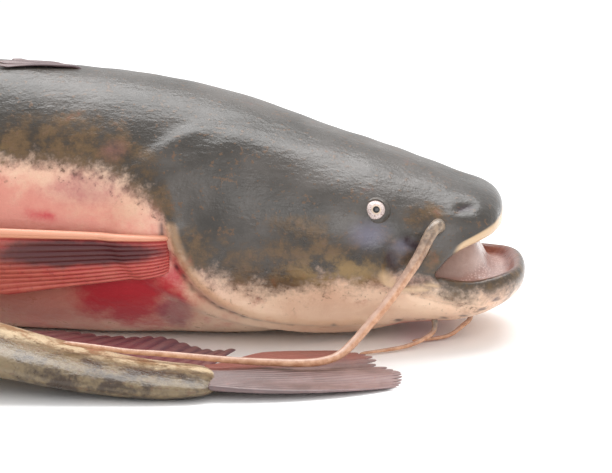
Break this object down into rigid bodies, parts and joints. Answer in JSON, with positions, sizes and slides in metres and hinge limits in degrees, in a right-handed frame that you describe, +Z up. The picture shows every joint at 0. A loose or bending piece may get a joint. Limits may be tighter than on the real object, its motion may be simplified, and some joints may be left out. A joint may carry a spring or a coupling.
{
  "type": "catfish, whole raw",
  "caption": "Whole raw wels catfish lying on its belly, mouth open, long barbel hanging, its tail bent back beside the body.",
  "frame": {"origin": "middle of the fish's footprint, on the surface it lies on", "axes": "+X from the tail bend towards the head, +Y towards the fish's left flank, +Z up"},
  "size_m": [0.4568, 0.2626, 0.1232],
  "materials": {
    "skin": "wet, smooth and scaleless, mottled grey and olive above and cream below",
    "eye": "wet and glossy, pinkish white iris with a small black pupil",
    "barbel": "wet, smooth, orange pink fading to grey",
    "fin": "wet, thin, ribbed by soft rays, purple grey to red"
  },
  "bodies": {
    "root": {"body": "skin", "eye_right": "eye", "eye_left": "eye", "maxillary_barbel_right": "barbel", "maxillary_barbel_left": "barbel", "chin_barbel_front_right": "barbel", "chin_barbel_front_left": "barbel", "chin_barbel_rear_right": "barbel", "chin_barbel_rear_left": "barbel", "dorsal_fin": "fin", "pectoral_fin_right": "fin", "pectoral_fin_left": "fin", "pelvic_fin_right": "fin", "pelvic_fin_left": "fin", "anal_fin": "fin", "tail_fin": "fin"}
  },
  "joints": []
}
